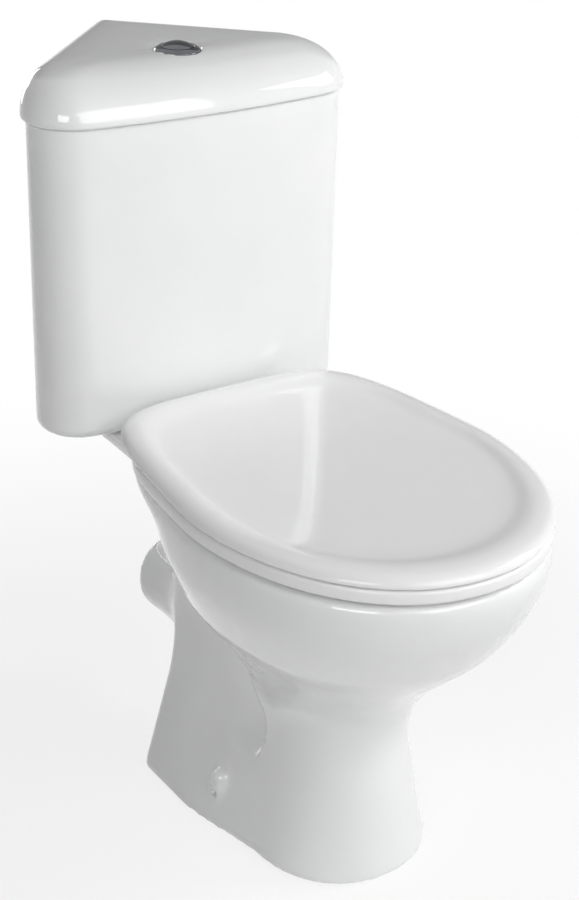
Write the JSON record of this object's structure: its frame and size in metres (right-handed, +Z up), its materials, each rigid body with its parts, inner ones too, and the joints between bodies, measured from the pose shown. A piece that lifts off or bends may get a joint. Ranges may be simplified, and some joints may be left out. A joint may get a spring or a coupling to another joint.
{
  "type": "corner toilet",
  "caption": "Close-coupled corner toilet with a three-sided cistern, a pedestal pan with rear outlet, a hinged seat with cover, and a dual flush button.",
  "frame": {"origin": "centre of the bounding box in plan, on the floor", "axes": "+Z up; the front of the bowl points to -Y; +X to the right when looking along +Y; X = 0 is the mirror plane"},
  "size_m": [0.3644, 0.713, 0.764],
  "materials": {
    "china": "glossy white glaze",
    "seat_plastic": "moulded glossy white",
    "soft_white": "soft white buffers",
    "hinge_metal": "satin steel",
    "chrome_trim": "polished chrome",
    "white_nylon": "matt white moulding",
    "valve_plastic": "satin moulding",
    "full_rod": "coloured moulding",
    "half_rod": "coloured moulding",
    "black_rubber": "soft black",
    "bolt_steel": "plated steel"
  },
  "bodies": {
    "toilet": {"pan": "china", "cistern": "china", "hinge_posts": "hinge_metal", "hinge_washers": "black_rubber", "hinge_nuts": "white_nylon", "valve_base": "valve_plastic", "valve_seal_ring": "black_rubber", "valve_backnut": "white_nylon", "coupling_washer": "black_rubber", "valve_cage": "valve_plastic", "overflow_pipe": "valve_plastic", "coupling_bolts": "bolt_steel", "coupling_washers": "black_rubber", "coupling_nuts": "bolt_steel", "fill_stem": "valve_plastic", "fill_washer": "black_rubber", "fill_backnut": "white_nylon", "fill_head": "valve_plastic"},
    "ring": {"seat_ring": "seat_plastic", "ring_buffers": "soft_white", "hinge_pins": "hinge_metal"},
    "cover": {"seat_cover": "seat_plastic", "cover_buffers": "soft_white"},
    "cistern_top": {"cistern_cover": "china", "button_surround": "chrome_trim", "button_backnut": "white_nylon"},
    "full_button": {"full_flush_button": "chrome_trim", "full_push_rod": "full_rod"},
    "half_button": {"half_flush_button": "chrome_trim", "half_push_rod": "half_rod"},
    "plunger": {"valve_plunger": "valve_plastic", "plunger_seal": "black_rubber"},
    "float": {"fill_float": "valve_plastic", "fill_guide_rod": "bolt_steel"}
  },
  "joints": [
    {"name": "ring_hinge", "type": "hinge", "parent": "toilet", "child": "ring", "pos_m": [0, 0.08149, 0.4045], "axis": [1, 0, 0], "range_deg": [-90.5, 0]},
    {"name": "cover_hinge", "type": "hinge", "parent": "ring", "child": "cover", "pos_m": [0, 0.08149, 0.4045], "axis": [-1, 0, 0], "range_deg": [0, 90.5]},
    {"name": "cistern_cover_lift", "type": "slide", "parent": "toilet", "child": "cistern_top", "axis": [0, 0, 1], "range_m": [0, 0.08]},
    {"name": "full_flush_press", "type": "slide", "parent": "cistern_top", "child": "full_button", "axis": [0, 0, -1], "range_m": [0, 0.006], "stiffness_N_per_m": 400, "springref_m": -0.004},
    {"name": "half_flush_press", "type": "slide", "parent": "cistern_top", "child": "half_button", "axis": [0, 0, -1], "range_m": [0, 0.006], "stiffness_N_per_m": 400, "springref_m": -0.004},
    {"name": "valve_lift", "type": "slide", "parent": "toilet", "child": "plunger", "axis": [0, 0, 1], "range_m": [0, 0.018]},
    {"name": "float_slide", "type": "slide", "parent": "toilet", "child": "float", "axis": [0, 0, -1], "range_m": [0, 0.06]}
  ],
  "couplings": [
    {"joint": "valve_lift", "follows": "full_flush_press", "ratio": 3}
  ]
}
